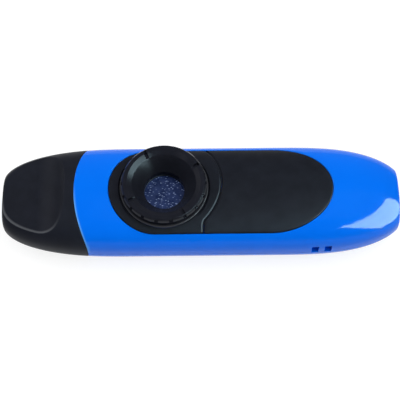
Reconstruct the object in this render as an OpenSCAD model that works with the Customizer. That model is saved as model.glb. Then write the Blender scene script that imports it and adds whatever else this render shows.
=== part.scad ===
// Kazoo with a screw-down membrane cap, a push-on mouthpiece and a lid over a bay for spare membranes.
// X runs along the body with the mouth end at -X, Z is up, and the flat base lies on Z = 0.

/* [Body] */
// Length from the mouth end to the tail end
body_len = 120; // [112:1:135]
// Widest width of the body
body_w = 33.8; // [31:0.1:38]
// Height of the full section, before the base is cut flat
body_h = 21.4; // [20:0.1:25]
// Depth cut off the underside to make the flat base
base_cut = 0.5; // [0.3:0.1:1]
// Wall of the two body shells
wall = 2.2; // [1.8:0.1:2.6]
// Roundness of the section: 2 is an ellipse, more is squarer
section_power = 2.5; // [2.2:0.1:3]
// Height of the parting line below the middle of the section
parting_drop = 1.0; // [0.5:0.1:2]

/* [Ends] */
// Width of the mouth end
mouth_w = 14.8; // [13:0.2:18]
// Height of the mouth end's full section
mouth_h = 9.6; // [8.6:0.2:12]
// Length over which the mouth end widens to the full section
mouth_taper = 38; // [34:1:41]
// Width of the tail end
tail_w = 17.8; // [15.4:0.2:22]
// Height of the tail end
tail_h = 12; // [10.6:0.2:15]
// Length over which the tail end widens to the full section
tail_taper = 40; // [35:1:45]

/* [Mouthpiece] */
// Distance from the mouth end to the joint, measured on the top
mouthpiece_len = 22.1; // [21:0.1:24]
// Radius of the joint line, seen from above
joint_r = 36.5; // [30:0.5:50]
// Height of the lip shelf above the middle of the section
shelf_z = 5.9; // [5.4:0.1:6.4]
// Length of the flat part of the lip shelf
shelf_len = 10.2; // [8.6:0.1:10.8]
// Radius of the sweep from the shelf up to the crest
shelf_r = 11.5; // [10:0.5:13]
// Width of the breath slot
slot_w = 10.4; // [8:0.2:11.4]
// Height of the breath slot
slot_h = 4.6; // [4.4:0.1:5]
// Width of the body's spigot inside the mouthpiece
spigot_w = 22; // [18:0.2:23]
// Height of the body's spigot inside the mouthpiece
spigot_h = 9.6; // [8:0.2:10]
// Length of the spigot past the joint line
spigot_len = 7; // [5:0.1:8]
// Wall of the spigot
spigot_wall = 1.4; // [1:0.1:1.8]

/* [Top panels] */
// Width of the blue shoulder on each side of the black panels
shoulder = 3.05; // [2.6:0.05:3.6]
// Thickness of the black panels
inlay_t = 1.2; // [0.8:0.1:1.4]
// Distance of the centre of the panels' round front end ahead of the cap's axis
inlay_lead = 2.9; // [1.5:0.1:4]
// Start of the long round rear end of the panels
inlay_rear_x = 21; // [18:0.1:24]
// Length of the long round rear end of the panels
inlay_rear_len = 18.7; // [16:0.1:21]
// Radius of the shut line that runs around the cap
shut_r = 17; // [16.6:0.1:17.6]
// Sideways shift of the shut line's centre
shut_y = 2; // [0:0.1:2.4]
// Place along the body of the shut line's straight end
shut_x = 0.5; // [0.2:0.1:1.4]
// Gap of the shut line between front panel and lid
shut_gap = 0.4; // [0.2:0.05:0.6]
// Gap between the panels and the body
panel_gap = 0.15; // [0.1:0.05:0.3]

/* [Spare membrane bay] */
// Length of the tray
tray_len = 25; // [22:0.5:26]
// Distance of the tray behind the shut line
tray_setback = 2.1; // [1.6:0.1:3]
// Play of the spare membranes across the tray
tray_play = 0.2; // [0.1:0.05:0.5]
// Wall and floor of the tray
tray_wall = 1.2; // [0.8:0.1:1.4]
// Depth of the underside of the tray below the crown of the body
tray_drop = 8.9; // [8.4:0.1:9.6]
// Depth of the lid's locating rim inside the tray
lid_rim = 1.2; // [0.8:0.1:1.6]
// Number of spare membranes
spare_count = 3; // [1:1:4]

/* [Membrane cap] */
// Place of the cap's axis along the body
cap_x = -10.9; // [-11.4:0.1:-10.4]
// Margin between the cap's flange and the edge of the panels
flange_margin = 0.65; // [0.6:0.05:1.2]
// Height of the flange's top above the crown of the body
flange_rise = 0.3; // [0:0.1:0.8]
// Thickness of the flange
flange_t = 1.1; // [0.8:0.1:1.2]
// Step from the flange in to the notched grip wall
grip_step = 0.55; // [0.4:0.05:0.9]
// Run of the sloping facet from the grip wall in to the rim
facet_run = 0.65; // [0.4:0.05:0.9]
// Fall of the sloping facet from the rim down to the grip wall
facet_fall = 1.1; // [0.8:0.1:1.4]
// Width of the flat rim
rim_w = 1.05; // [0.8:0.05:1.6]
// Height of the rim above the flange
rim_h = 3.1; // [2.6:0.1:4]
// Number of grip notches
notch_count = 18; // [12:1:28]
// Width of a grip notch
notch_w = 1; // [0.6:0.1:1.4]
// Number of radial slots across the rim
slot_count = 4; // [2:1:6]
// Width of a radial slot
rim_slot_w = 0.9; // [0.8:0.1:2]
// Pitch of the screw thread
pitch = 2.4; // [2:0.1:2.6]

/* [Membrane] */
// Depth of the membrane's underside below the crown of the body
membrane_drop = 5.2; // [4.6:0.05:5.6]
// Thickness of the membrane film
membrane_t = 0.15; // [0.1:0.05:0.3]
// Margin that the seat's edge leaves around the membrane, the gasket and the pressure ring
membrane_margin = 0.4; // [0.2:0.1:0.8]
// Thickness of the gasket
gasket_t = 0.35; // [0.2:0.05:0.6]
// Thickness of the pressure ring
ring_t = 0.9; // [0.6:0.1:1.2]
// Width of the pressure ring, from the membrane's edge in to the opening over the membrane
ring_land = 3.05; // [2.4:0.05:3.6]
// Width of the gasket, from the membrane's edge in to the hole through the seat
seat_land = 2.5; // [2:0.1:3]

/* [Strap eyes] */
// Place of the bar between the two strap eyes
eye_x = 36.1; // [35.5:0.1:38]
// Width of each strap eye
eye_w = 2.1; // [1.6:0.1:2.6]
// Height of each strap eye
eye_h = 3.4; // [2.6:0.1:4]
// Width of the bar between the eyes
eye_bar = 1.8; // [1.2:0.1:2.4]
// Depth of the pocket behind the eyes
eye_depth = 2.4; // [2:0.1:3]

/* [Hidden] */
$fn = 96;

// Small clearances and overlaps
slip = 0.05;        // press fits between round pieces
join = 0.4;         // how far pieces of one solid run into each other
past = 1;           // how far a cutter runs past a face
spare_gap = 0.05;   // air between stacked membranes
spare_t = 0.2;      // thickness of a spare membrane

// Shape of the two ends: the mouth end is close to a quarter ellipse and the tail end is flatter
mouth_power = 2.5;
mouth_curve = 0.55;
tail_power = 3.5;
tail_curve = 0.8;
arc_steps = 22;     // facets across a half section
mouth_steps = 12;   // facets along the mouthpiece
tail_steps = 12;    // facets along the tail

half_len = body_len / 2;
mid_z = body_h / 2 - base_cut;
parting_z = mid_z - parting_drop;
crown_z = mid_z + body_h / 2;
joint_x = -half_len + mouthpiece_len;
joint_cx = joint_x + joint_r;
shelf_x = -half_len + shelf_len;
inlay_r = body_w / 2 - shoulder;
inlay_front_x = cap_x - inlay_lead;

// Radii of the cap, its thread and the membrane, from the edge of the panels inwards
flange_r = inlay_r - flange_margin;
well_r = flange_r + 0.4;
grip_r = flange_r - grip_step;
rim_r = grip_r - facet_run;
rim_in_r = rim_r - rim_w;
funnel_r = rim_in_r - 1.4;
skirt_r = flange_r - 1.5;
skirt_wall = 1.25;
hole_r = skirt_r + 0.3;
skirt_in_r = skirt_r - skirt_wall;
thread_h = 0.6;          // height of the thread on the seat
thread_play = 0.35;      // radial play between the thread and the cap's skirt
thread_r = skirt_in_r - thread_play - thread_h;
membrane_r = thread_r - membrane_margin;
mouth_r = membrane_r - ring_land;
seat_bore_r = membrane_r - seat_land;

// Tray for the spare membranes, which are as large as the one in use
tray_x = cap_x + shut_r + shut_gap + tray_setback;
tray_w = 2 * (membrane_r + tray_play + tray_wall);
tray_z = crown_z - tray_drop;

// Underside of the lid where it crosses the tray's side wall
lid_edge_z = mid_z + (body_h / 2 - inlay_t)
    * pow(1 - pow(tray_w / (body_w - 2 * inlay_t), section_power), 1 / section_power);

// The stack under the cap, from the seat up
membrane_z = crown_z - membrane_drop;
seat_z = membrane_z - gasket_t;
ring_z = membrane_z + membrane_t;
shoulder_z = ring_z + ring_t;
flange_z = crown_z + flange_rise;
panel_land = flange_z - flange_t - 0.2;
throat_z = flange_z - 2.6;
rim_z = flange_z + rim_h;
funnel_z = rim_z - 0.9;
bevel = 0.3;
seat_floor_t = 1.2;
seat_floor_z = mid_z - 0.4;
skirt_z = seat_floor_z + seat_floor_t + 0.4;
turn_steps = 24;
ridge_w = 0.5 * pitch;   // width of a thread ridge at its foot
thread_z = skirt_z + ridge_w / 2;
thread_rise = seat_z - thread_z - ridge_w / 2;

// Section of the body at a place along it
function signed(v, p) = sign(v) * pow(abs(v), p);
function along(d, taper) = min(1, max(0, d / taper));
function mouth_fill(x) = pow(1 - pow(1 - along(x + half_len, mouth_taper), mouth_power), mouth_curve);
function tail_fill(x) = pow(1 - pow(1 - along(half_len - x, tail_taper), tail_power), tail_curve);
function blend_end(x, at_mouth, at_tail, at_middle) =
    x < 0 ? at_mouth + (at_middle - at_mouth) * mouth_fill(x)
          : at_tail + (at_middle - at_tail) * tail_fill(x);
function half_w(x) = blend_end(x, mouth_w, tail_w, body_w) / 2;
function half_h(x) = blend_end(x, mouth_h, tail_h, body_h) / 2;
function on_section(x, inset, a) = [
    x,
    (half_w(x) - inset) * signed(cos(a), 2 / section_power),
    mid_z + (half_h(x) - inset) * signed(sin(a), 2 / section_power)];
function parting_angle(x, inset) = asin(pow(parting_drop / (half_h(x) - inset), section_power / 2));

// Places along the body where a section is drawn
mouth_stations = [for (i = [0 : mouth_steps]) -half_len + mouth_taper * (1 - cos(90 * i / mouth_steps))];
tail_stations = [for (i = [tail_steps : -1 : 0]) half_len - tail_taper * (1 - cos(90 * i / tail_steps))];
stations = concat(mouth_stations, tail_stations);

function arc(x, inset, from, to) = [for (i = [0 : arc_steps])
    on_section(x, inset, from + (to - from) * i / arc_steps)];
function reversed(list) = [for (i = [len(list) - 1 : -1 : 0]) list[i]];
function ring(x, inset) = [for (i = [0 : 2 * arc_steps - 1]) on_section(x, inset, 180 * i / arc_steps)];
function upper_arc(x, inset) = arc(x, inset, -parting_angle(x, inset), 180 + parting_angle(x, inset));
function lower_arc(x, inset) = arc(x, inset, 180 + parting_angle(x, inset), 360 - parting_angle(x, inset));
function upper_band(x, outer, inner) = concat(upper_arc(x, outer), reversed(upper_arc(x, inner)));
function lower_band(x, outer, inner) = concat(lower_arc(x, outer), reversed(lower_arc(x, inner)));

// A solid through a row of closed rings with the same number of points, with its ends filled across
module loft(rings) {
    m = len(rings[0]);
    last = (len(rings) - 1) * m;
    strip = [for (k = [0 : m / 2 - 2]) each [[k, k + 1, m - 1 - k], [k + 1, m - 2 - k, m - 1 - k]]];
    polyhedron(
        points = [for (r = rings) each r],
        faces = concat(
            strip,
            [for (i = [0 : len(rings) - 2], k = [0 : m - 1])
                let (a = i * m + k, b = i * m + (k + 1) % m) each [[a, a + m, b], [b, a + m, b + m]]],
            [for (f = strip) [last + f[0], last + f[2], last + f[1]]]),
        convexity = 8);
}

function between(from, to) = concat(
    [from], [for (x = stations) if (x > from + 0.1 && x < to - 0.1) x], [to]);

module full_body(inset, from, to) {
    loft([for (x = between(from, to)) ring(x, inset)]);
}

// Outlines seen from above
function front_arc(grow) = [for (a = [90 : 6 : 270])
    [inlay_front_x + (inlay_r + grow) * cos(a), (inlay_r + grow) * sin(a)]];
function rear_arc(grow) = [for (a = [-90 : 6 : 90])
    [inlay_rear_x + (inlay_rear_len + grow) * cos(a), (inlay_r + grow) * sin(a)]];

module inlay_outline(grow) {
    polygon(concat(front_arc(grow), rear_arc(grow)));
}

// Everything on the cap's side of the shut line, moved towards the tail by shift
module cap_side(shift) {
    bend_r = 2.4;
    offset(r = -bend_r, $fn = 48) offset(delta = bend_r) union() {
        translate([cap_x + shift, shut_y]) circle(r = shut_r, $fn = 90);
        translate([-body_len, -body_w]) square([body_len + shut_x + shift, 2 * body_w]);
    }
}

module tray_outline(grow) {
    corner = 3;
    translate([tray_x + tray_len / 2, 0])
        offset(r = corner + grow, $fn = 48)
            square([tray_len - 2 * corner, tray_w - 2 * corner], center = true);
}

module stadium(w, h) {
    square([w - h, h], center = true);
    for (s = [-1, 1]) translate([s * (w - h) / 2, 0]) circle(d = h);
}

// An outline drawn across the body, pushed along X between two places
module along_body(from, to) {
    translate([from, 0, mid_z]) rotate([90, 0, 90]) linear_extrude(to - from) children();
}

module at_cap() {
    translate([cap_x, 0, 0]) children();
}

module joint_cylinder(r) {
    translate([joint_cx, 0, -past]) cylinder(r = r, h = crown_z + 3 * past);
}

module mouth_side_of_joint() {
    difference() {
        translate([-half_len - past, -body_w, -past])
            cube([joint_r + mouthpiece_len / 2, 2 * body_w, crown_z + 3 * past]);
        joint_cylinder(joint_r);
    }
}

module upper_half() {
    translate([-body_len, -body_w, parting_z]) cube([2 * body_len, 2 * body_w, body_h]);
}

module lower_half() {
    translate([-body_len, -body_w, parting_z - body_h]) cube([2 * body_len, 2 * body_w, body_h]);
}

// Bulkhead behind the joint line and the spigot that carries the mouthpiece
module mouth_bulkhead() {
    intersection() {
        full_body(wall - join, joint_x - past, joint_x + joint_r / 4);
        difference() {
            joint_cylinder(joint_r);
            joint_cylinder(joint_r - wall);
        }
    }
    along_body(joint_x - spigot_len, joint_x + wall) stadium(spigot_w, spigot_h);
}

module spigot_bore() {
    along_body(joint_x - spigot_len - past, joint_x + joint_r / 4)
        stadium(spigot_w - 2 * spigot_wall, spigot_h - 2 * spigot_wall);
}

// Strap eyes through the near side wall, joined by a pocket that is closed off from the breath
eye_y = -half_w(eye_x);
eye_reach = wall + eye_depth;
eye_span = 2 * eye_w + eye_bar;

module strap_pocket() {
    intersection() {
        full_body(wall / 2, eye_x - eye_span, eye_x + eye_span);
        translate([eye_x - eye_span / 2 - wall / 2, eye_y, parting_z])
            cube([eye_span + wall, eye_reach + wall / 2, eye_h + wall / 2]);
    }
}

module strap_eyes() {
    for (s = [-1, 1])
        translate([eye_x + s * (eye_bar + eye_w) / 2 - eye_w / 2, eye_y - past, parting_z - past])
            cube([eye_w, eye_reach + past, eye_h + past]);
    translate([eye_x - eye_span / 2, eye_y + wall, parting_z - past])
        cube([eye_span, eye_depth, eye_h + past]);
}

// Pocket in the upper shell that the two black panels lie in
module panel_recess() {
    difference() {
        translate([0, 0, mid_z]) linear_extrude(body_h) inlay_outline(0);
        full_body(inlay_t, joint_x, half_len - past);
    }
}

module upper_shell() {
    color("#0a72f5") difference() {
        union() {
            difference() {
                loft([for (x = between(joint_x - past, half_len)) upper_band(x, 0, wall)]);
                mouth_side_of_joint();
            }
            intersection() {
                mouth_bulkhead();
                upper_half();
            }
            strap_pocket();
        }
        spigot_bore();
        panel_recess();
        translate([0, 0, mid_z]) linear_extrude(body_h) tray_outline(slip);
        at_cap() translate([0, 0, mid_z]) cylinder(r = well_r + slip, h = body_h);
        strap_eyes();
    }
}

module lower_shell() {
    color("#0a72f5") difference() {
        union() {
            difference() {
                loft([for (x = between(joint_x - past, half_len)) lower_band(x, 0, wall)]);
                mouth_side_of_joint();
            }
            intersection() {
                mouth_bulkhead();
                lower_half();
            }
        }
        spigot_bore();
        translate([-body_len, -body_w, -body_h]) cube([2 * body_len, 2 * body_w, body_h]);
    }
}

// Mouthpiece: a hollow tip with a lip shelf on the top
module breath_slot() {
    along_body(-half_len - past, joint_x) stadium(slot_w, slot_h);
}

module lip_shelf() {
    centre_z = mid_z + shelf_z + shelf_r;
    translate([shelf_x, body_w, centre_z]) rotate([90, 0, 0]) cylinder(r = shelf_r, h = 2 * body_w);
    translate([-half_len - past, -body_w, mid_z + shelf_z]) cube([shelf_len + past, 2 * body_w, body_h]);
}

module mouthpiece() {
    color("#24262d") difference() {
        full_body(0, -half_len, joint_x + joint_r / 4);
        joint_cylinder(joint_r);
        lip_shelf();
        breath_slot();
        along_body(joint_x - spigot_len - slip, joint_x + joint_r / 4)
            stadium(spigot_w + 2 * slip, spigot_h + 2 * slip);
    }
}

// A panel of the body's own skin within an outline
module skin(from, to) {
    loft([for (x = between(from, to)) upper_band(x, 0, inlay_t - slip)]);
}

module front_panel() {
    color("#202228") difference() {
        union() {
            intersection() {
                skin(inlay_front_x - inlay_r - past, cap_x + shut_r + past);
                translate([0, 0, mid_z]) linear_extrude(body_h) intersection() {
                    inlay_outline(-panel_gap);
                    cap_side(0);
                }
            }
            intersection() {
                full_body(inlay_t / 2, inlay_front_x - inlay_r - past, cap_x + shut_r + past);
                at_cap() translate([0, 0, seat_floor_z]) cylinder(r = well_r, h = crown_z - seat_floor_z);
            }
        }
        at_cap() translate([0, 0, seat_floor_z - past]) cylinder(r = hole_r, h = body_h);
        at_cap() translate([0, 0, panel_land]) cylinder(r = well_r, h = body_h);
    }
}

// Tray for spare membranes, glued under the upper shell
module storage_tray() {
    color("#2b2d33") difference() {
        union() {
            intersection() {
                full_body(inlay_t + slip, tray_x - past, tray_x + tray_len + past);
                translate([0, 0, tray_z]) linear_extrude(body_h) tray_outline(0);
            }
            intersection() {
                full_body(wall + slip, tray_x - 2 * past, tray_x + tray_len + 2 * past);
                translate([0, 0, crown_z - 3 * wall]) linear_extrude(body_h) tray_outline(tray_wall);
            }
        }
        translate([0, 0, tray_z + tray_wall]) linear_extrude(body_h) tray_outline(-tray_wall);
    }
}

module storage_lid() {
    color("#202228") {
        intersection() {
            skin(shut_x - past, inlay_rear_x + inlay_rear_len + past);
            translate([0, 0, mid_z]) linear_extrude(body_h) difference() {
                inlay_outline(-panel_gap);
                cap_side(shut_gap);
            }
        }
        intersection() {
            full_body(inlay_t / 2, tray_x - past, tray_x + tray_len + past);
            translate([0, 0, lid_edge_z - lid_rim]) linear_extrude(body_h) difference() {
                tray_outline(-tray_wall - panel_gap);
                tray_outline(-2 * tray_wall - panel_gap);
            }
        }
    }
}

module spare_membranes() {
    color("#2f4c8c") for (i = [0 : spare_count - 1])
        translate([tray_x + tray_len / 2, 0, tray_z + tray_wall + spare_gap + i * (spare_t + spare_gap)])
            cylinder(r = membrane_r, h = spare_t);
}

// A helical ridge: foot and crest radii, foot width, and how high it starts
module helix_ridge(foot_r, crest_r, foot_w, start_z) {
    steps = floor(turn_steps * thread_rise / pitch);
    crest_w = foot_w / 3;
    side = sign(foot_r - crest_r);
    loft([for (i = [0 : steps])
        let (a = 360 * i / turn_steps, z = start_z + pitch * a / 360, d = [cos(a), sin(a)])
        [for (p = [[foot_r, -foot_w], [crest_r, -crest_w], [crest_r, crest_w], [foot_r, foot_w]])
            [p[0] * d[0], p[0] * d[1], z + side * p[1] / 2]]]);
}

module membrane_seat() {
    color("#1c1d22") at_cap() difference() {
        union() {
            translate([0, 0, seat_floor_z]) cylinder(r = hole_r - slip, h = seat_floor_t);
            translate([0, 0, seat_floor_z]) cylinder(r = thread_r, h = seat_z - seat_floor_z);
            helix_ridge(thread_r - join, thread_r + thread_h, ridge_w, thread_z);
        }
        translate([0, 0, seat_floor_z - past]) cylinder(r = seat_bore_r, h = body_h);
    }
}

module washer(z, inner, outer, t) {
    at_cap() translate([0, 0, z]) difference() {
        cylinder(r = outer, h = t);
        translate([0, 0, -past]) cylinder(r = inner, h = t + 2 * past);
    }
}

module seat_gasket() {
    color("#6d7078") washer(seat_z, seat_bore_r, membrane_r, gasket_t);
}

module membrane() {
    color("#22386e") at_cap() translate([0, 0, membrane_z]) cylinder(r = membrane_r, h = membrane_t);
}

module pressure_ring() {
    color("#1c1d22") washer(ring_z, mouth_r + slip, membrane_r, ring_t);
}

// Cap: half profile from the skirt up over the rim and down the funnel
module cap_profile() {
    flange_low = flange_z - flange_t;
    polygon([
        [skirt_in_r, skirt_z], [skirt_r, skirt_z], [skirt_r, flange_low],
        [flange_r - bevel, flange_low], [flange_r, flange_low + bevel], [flange_r, flange_z - bevel],
        [flange_r - bevel, flange_z], [grip_r, flange_z], [grip_r, rim_z - facet_fall],
        [rim_r, rim_z], [rim_in_r, rim_z], [funnel_r, funnel_z],
        [mouth_r, throat_z], [mouth_r, shoulder_z], [skirt_in_r, shoulder_z]]);
}

module cap() {
    notch_depth = 0.7;
    slot_depth = 0.75;
    slot_end = rim_r - 0.35;
    color("#17181c") at_cap() {
        difference() {
            rotate_extrude() cap_profile();
            for (i = [0 : notch_count - 1]) rotate(360 * (i + 0.5) / notch_count - 90)
                translate([grip_r - notch_depth, -notch_w / 2, flange_z + bevel])
                    cube([notch_depth + past, notch_w, rim_z - flange_z - 3 * bevel]);
            for (i = [0 : slot_count - 1]) rotate(30 + 360 * i / slot_count)
                translate([funnel_r - past, -rim_slot_w / 2, rim_z - slot_depth])
                    cube([slot_end - funnel_r + past, rim_slot_w, slot_depth + past]);
        }
        helix_ridge(skirt_in_r + join, skirt_in_r - thread_h, ridge_w, thread_z + pitch / 2);
    }
}

upper_shell();
lower_shell();
mouthpiece();
front_panel();
storage_tray();
storage_lid();
spare_membranes();
membrane_seat();
seat_gasket();
membrane();
pressure_ring();
cap();
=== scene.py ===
import math

import bmesh
import bpy
import numpy as np
from mathutils import Matrix, Vector


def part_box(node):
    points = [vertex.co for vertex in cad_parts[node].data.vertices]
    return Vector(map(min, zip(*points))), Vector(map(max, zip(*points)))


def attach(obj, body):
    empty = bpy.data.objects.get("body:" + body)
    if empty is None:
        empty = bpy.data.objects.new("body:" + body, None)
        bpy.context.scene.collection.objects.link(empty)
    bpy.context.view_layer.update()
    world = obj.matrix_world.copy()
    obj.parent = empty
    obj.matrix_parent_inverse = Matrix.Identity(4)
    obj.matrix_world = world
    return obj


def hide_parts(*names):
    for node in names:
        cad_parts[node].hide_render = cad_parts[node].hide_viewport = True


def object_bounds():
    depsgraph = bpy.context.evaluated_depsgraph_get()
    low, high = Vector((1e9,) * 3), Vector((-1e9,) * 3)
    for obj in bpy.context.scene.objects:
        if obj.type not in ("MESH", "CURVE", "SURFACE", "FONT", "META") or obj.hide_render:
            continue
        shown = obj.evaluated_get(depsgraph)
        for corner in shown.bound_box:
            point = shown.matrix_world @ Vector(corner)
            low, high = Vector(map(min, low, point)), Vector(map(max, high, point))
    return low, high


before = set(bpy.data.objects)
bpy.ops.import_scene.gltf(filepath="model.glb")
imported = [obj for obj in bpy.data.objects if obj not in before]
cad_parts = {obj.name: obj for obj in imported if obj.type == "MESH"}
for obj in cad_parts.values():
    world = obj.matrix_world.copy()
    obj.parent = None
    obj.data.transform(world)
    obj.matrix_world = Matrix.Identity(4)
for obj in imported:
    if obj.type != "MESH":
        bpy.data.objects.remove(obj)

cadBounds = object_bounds()
mm = 0.001  # the frame is in metres, every size below is in millimetres


def boxMm(node):
    low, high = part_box(node)
    return np.array(low) / mm, np.array(high) / mm


partLow, partHigh = (np.array(corner) / mm for corner in cadBounds)
lidLow, lidHigh = boxMm("storage_lid")
capLow, capHigh = boxMm("cap")
trayLow, trayHigh = boxMm("storage_tray")
filmLow, filmHigh = boxMm("membrane")
ringLow, ringHigh = boxMm("pressure_ring")
gasketLow, gasketHigh = boxMm("seat_gasket")
seatLow, seatHigh = boxMm("membrane_seat")
spareLow, spareHigh = boxMm("spare_membranes")
shellLow, _ = boxMm("upper_shell")

# the body's own skin, which every outer piece follows
body = {
    "halfLen": (partHigh[0] - partLow[0]) / 2,
    "width": partHigh[1] - partLow[1],
    "crown": lidHigh[2],
    "baseCut": 0.5,
    "wall": 2.2,
    "power": 2.5,          # 2 is an ellipse, more is squarer
    "partingDrop": 1.0,
    "mouthW": 14.8,
    "mouthH": 9.6,
    "mouthTaper": 38,
    "mouthPower": 2.5,     # the mouth end is close to a quarter ellipse
    "mouthCurve": 0.55,
    "tailW": 17.8,
    "tailH": 12,
    "tailTaper": 40,
    "tailPower": 3.5,      # the tail end is flatter
    "tailCurve": 0.8,
}
body["height"] = body["crown"] + body["baseCut"]
body["mid"] = body["crown"] - body["height"] / 2
body["parting"] = body["mid"] - body["partingDrop"]

spigot = {"len": 7, "width": 22, "height": 9.6, "wall": 1.4, "edge": 0.3, "root": 1, "sides": 72}
joint = {"x": shellLow[0] + spigot["len"], "r": 36.5}
joint["centre"] = joint["x"] + joint["r"]

# recess for the two panels; slip is the play round the well and the tray that hang in it
inlay = {"gap": 0.15, "depth": 1.2, "rearX": 21, "lead": 2.9, "slip": 0.05}
inlay["r"] = lidHigh[1] + inlay["gap"]
inlay["rearLen"] = lidHigh[0] + inlay["gap"] - inlay["rearX"]

cap = {"x": (capLow[0] + capHigh[0]) / 2, "flangeR": (capHigh[0] - capLow[0]) / 2}
inlay["frontX"] = cap["x"] - inlay["lead"]

shut = {"x": 0.5, "y": 2, "r": 17, "gap": 0.4, "bend": 2.4}


# steps of the searches below, and a reach past every piece
settle = {"rounds": 20, "few": 6, "halvings": 44, "far": 60.0}


def smooth(low, high, value):
    t = np.clip((value - low) / (high - low), 0, 1)
    return t * t * (3 - 2 * t)


def signedPower(value, power):
    return np.sign(value) * np.abs(value) ** power


def endBlend(x, atMouth, atTail, atMiddle):
    fromMouth = np.clip((x + body["halfLen"]) / body["mouthTaper"], 0, 1)
    fromTail = np.clip((body["halfLen"] - x) / body["tailTaper"], 0, 1)
    mouthFill = (1 - (1 - fromMouth) ** body["mouthPower"]) ** body["mouthCurve"]
    tailFill = (1 - (1 - fromTail) ** body["tailPower"]) ** body["tailCurve"]
    mouthHalf = atMouth + (atMiddle - atMouth) * mouthFill
    tailHalf = atTail + (atMiddle - atTail) * tailFill
    return np.where(x < 0, mouthHalf, tailHalf)


def halfWidth(x):
    return endBlend(x, body["mouthW"], body["tailW"], body["width"]) / 2


def halfHeight(x):
    return endBlend(x, body["mouthH"], body["tailH"], body["height"]) / 2


# a point of the skin: 0 degrees is the far side (+Y), 90 the crown, 180 the near side
def skinPoint(x, angle, inset):
    x, angle, inset = np.broadcast_arrays(np.asarray(x, float), angle, inset)
    y = (halfWidth(x) - inset) * signedPower(np.cos(angle), 2 / body["power"])
    z = body["mid"] + (halfHeight(x) - inset) * signedPower(np.sin(angle), 2 / body["power"])
    return np.stack([x, y, z], -1)


def skinZ(x, y, inset=0):
    share = np.clip(np.abs(y) / (halfWidth(x) - inset), 0, 1)
    return body["mid"] + (halfHeight(x) - inset) * (1 - share ** body["power"]) ** (1 / body["power"])


def angleAt(x, y, inset):
    share = np.clip(np.abs(y) / (halfWidth(x) - inset), 0, 1)
    return np.arccos(np.sign(y) * share ** (body["power"] / 2))


# angle on the far side of a line that runs at a height over the parting line
def partingAngle(x, inset, lift):
    rise = np.asarray(lift - body["partingDrop"], float)
    share = np.abs(rise) / (halfHeight(x) - inset)
    return np.arcsin(np.clip(np.sign(rise) * share ** (body["power"] / 2), -1, 1))


# the joint with the mouthpiece, an arc seen from above
def jointLine(y):
    return joint["centre"] - np.sqrt(joint["r"] ** 2 - y ** 2)


# where the joint line crosses a section angle; the steps settle the place
def jointX(angle, inset):
    x = np.full(np.shape(angle), joint["x"])
    for _ in range(settle["rounds"]):
        x = jointLine(skinPoint(x, angle, inset)[..., 1])
    return x


# where the joint line meets the parting line
def jointCorner(inset):
    x = np.array(joint["x"])
    for _ in range(settle["rounds"]):
        x = jointLine(skinPoint(x, partingAngle(x, inset, 0), inset)[..., 1])
    return x


# distance from the middle to the edge of a rectangle with round corners
def roundRectReach(angle, halfX, halfY, corner):
    near, far = np.zeros(np.shape(angle)), np.full(np.shape(angle), settle["far"])
    for _ in range(settle["halvings"]):
        reach = (near + far) / 2
        overX = np.abs(reach * np.cos(angle)) - halfX + corner
        overY = np.abs(reach * np.sin(angle)) - halfY + corner
        gap = np.hypot(np.maximum(overX, 0), np.maximum(overY, 0)) + np.minimum(np.maximum(overX, overY), 0)
        near, far = np.where(gap > corner, near, reach), np.where(gap > corner, reach, far)
    return reach


def fullTurn(count):
    return np.linspace(0, 2 * np.pi, count, endpoint=False)


# points seen from above, round a place on the middle line
def around(x, reach, turn):
    return np.stack([x + reach * np.cos(turn), reach * np.sin(turn)], -1)


def at(xy, z):
    return np.concatenate([xy, np.broadcast_to(z, xy.shape[:-1])[..., None]], -1)


# points seen from above, put on the skin or at a depth under it
def onSkin(xy, inset=0, drop=0):
    return at(xy, skinZ(*xy.T, inset) - drop)


# angles of a rounded edge, from the flat to the wall
edgeTurn = np.radians([0, 18, 36, 54, 72, 90])
edgeOut = 1 - np.sin(edgeTurn)
edgeDown = 1 - np.cos(edgeTurn)
toWall = list(zip(edgeOut, edgeDown))
fromWall = toWall[::-1]


# rows of points become quads; wrap joins the last column or row to the first
def addGrid(mesh, rows, wrapAcross=True, wrapAlong=False):
    grid = np.asarray(rows, float)
    count, width = grid.shape[:2]
    start = mesh["count"]
    mesh["points"].append(grid.reshape(-1, 3))
    mesh["count"] += count * width
    for i in range(count if wrapAlong else count - 1):
        for k in range(width if wrapAcross else width - 1):
            i2, k2 = (i + 1) % count, (k + 1) % width
            quad = (i * width + k, i * width + k2, i2 * width + k2, i2 * width + k)
            mesh["faces"].append(tuple(start + n for n in quad))


# a fan from a closed loop to one point
def addFan(mesh, loop, tip):
    start = mesh["count"]
    mesh["points"].append(np.concatenate([loop, [tip]]))
    mesh["count"] += len(loop) + 1
    for k in range(len(loop)):
        mesh["faces"].append((start + k, start + (k + 1) % len(loop), start + len(loop)))


# a plate between two equal grids, closed along its four sides
def addPlate(mesh, outer, inner):
    outer, inner = np.asarray(outer, float), np.asarray(inner, float)
    addGrid(mesh, outer, wrapAcross=False)
    addGrid(mesh, inner, wrapAcross=False)
    for side in (np.s_[0], np.s_[-1]):
        addGrid(mesh, [outer[side], inner[side]], wrapAcross=False)
        addGrid(mesh, [outer[:, side], inner[:, side]], wrapAcross=False)


scene = bpy.context.scene


def show(name, data):
    thing = bpy.data.objects.new(name, data)
    scene.collection.objects.link(thing)
    return thing


weld = {"merge": 0.002, "speck": 0.001}


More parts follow.
